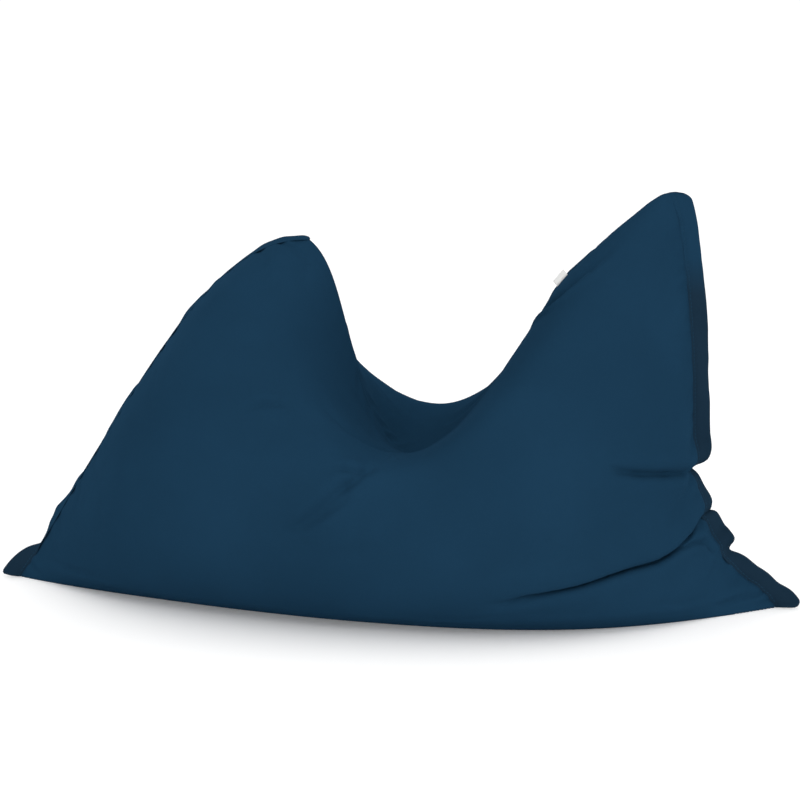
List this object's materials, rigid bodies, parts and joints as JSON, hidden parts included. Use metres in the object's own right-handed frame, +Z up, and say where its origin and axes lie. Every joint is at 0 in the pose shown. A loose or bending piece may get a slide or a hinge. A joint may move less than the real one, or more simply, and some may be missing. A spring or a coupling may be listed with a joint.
{
  "type": "bean bag chair",
  "caption": "Giant pillow-type bean bag chair standing on its long edge with a pressed-in seat hollow; two-panel zipped cover over a bead-filled liner.",
  "frame": {"origin": "on the floor, under the middle of the bag's length and depth", "axes": "+X along the bag's long edge towards the tall ear, -Y is the sitter's side shown to the viewer (front), +Z up"},
  "size_m": [1.3168, 0.6413, 0.6682],
  "materials": {
    "cover_fabric": "matte woven polyester",
    "hem_fabric": "matte woven polyester",
    "liner_fabric": "matte nonwoven",
    "bead_fill": "expanded foam beads",
    "zip_tape": "woven tape",
    "zip_coil": "nylon coil",
    "zip_metal": "dull nickel",
    "label_white": "woven satin tab",
    "liner_zip_plastic": "nylon"
  },
  "bodies": {
    "bag": {"bead_filling": "bead_fill", "care_label": "label_white", "cover_back_hem": "cover_fabric", "cover_back_panel": "cover_fabric", "cover_front_panel": "cover_fabric", "left_flange": "hem_fabric", "liner_back_panel": "liner_fabric", "liner_front_panel": "liner_fabric", "liner_zip_bottom_stop": "liner_zip_plastic", "liner_zip_coil_lower": "liner_zip_plastic", "liner_zip_coil_upper": "liner_zip_plastic", "liner_zip_tape_lower": "liner_fabric", "liner_zip_tape_upper": "liner_fabric", "liner_zip_top_stops": "liner_zip_plastic", "right_flange": "hem_fabric", "seam_label": "label_white", "zip_bottom_stop": "zip_metal", "zip_coil_lower": "zip_coil", "zip_coil_upper": "zip_coil", "zip_garage": "hem_fabric", "zip_tape_lower": "zip_tape", "zip_tape_upper": "zip_tape", "zip_top_stops": "zip_metal"},
    "zip_slider": {"zip_slider": "zip_metal"},
    "zip_pull": {"zip_pull": "zip_metal"},
    "liner_zip_slider": {"liner_zip_slider": "zip_metal"}
  },
  "joints": [
    {"name": "zip_travel", "type": "hinge", "parent": "bag", "child": "zip_slider", "pos_m": [0, -0.494, 0.16436], "axis": [0, 0, 1], "range_deg": [0, 37.14]},
    {"name": "pull_swing", "type": "hinge", "parent": "zip_slider", "child": "zip_pull", "pos_m": [0.25899, 0.27691, 0.16436], "axis": [0, 0, -1], "range_deg": [0, 165]},
    {"name": "liner_zip_travel", "type": "hinge", "parent": "bag", "child": "liner_zip_slider", "pos_m": [0, -0.494, 0.16396], "axis": [0, 0, 1], "range_deg": [0, 27.57]}
  ]
}
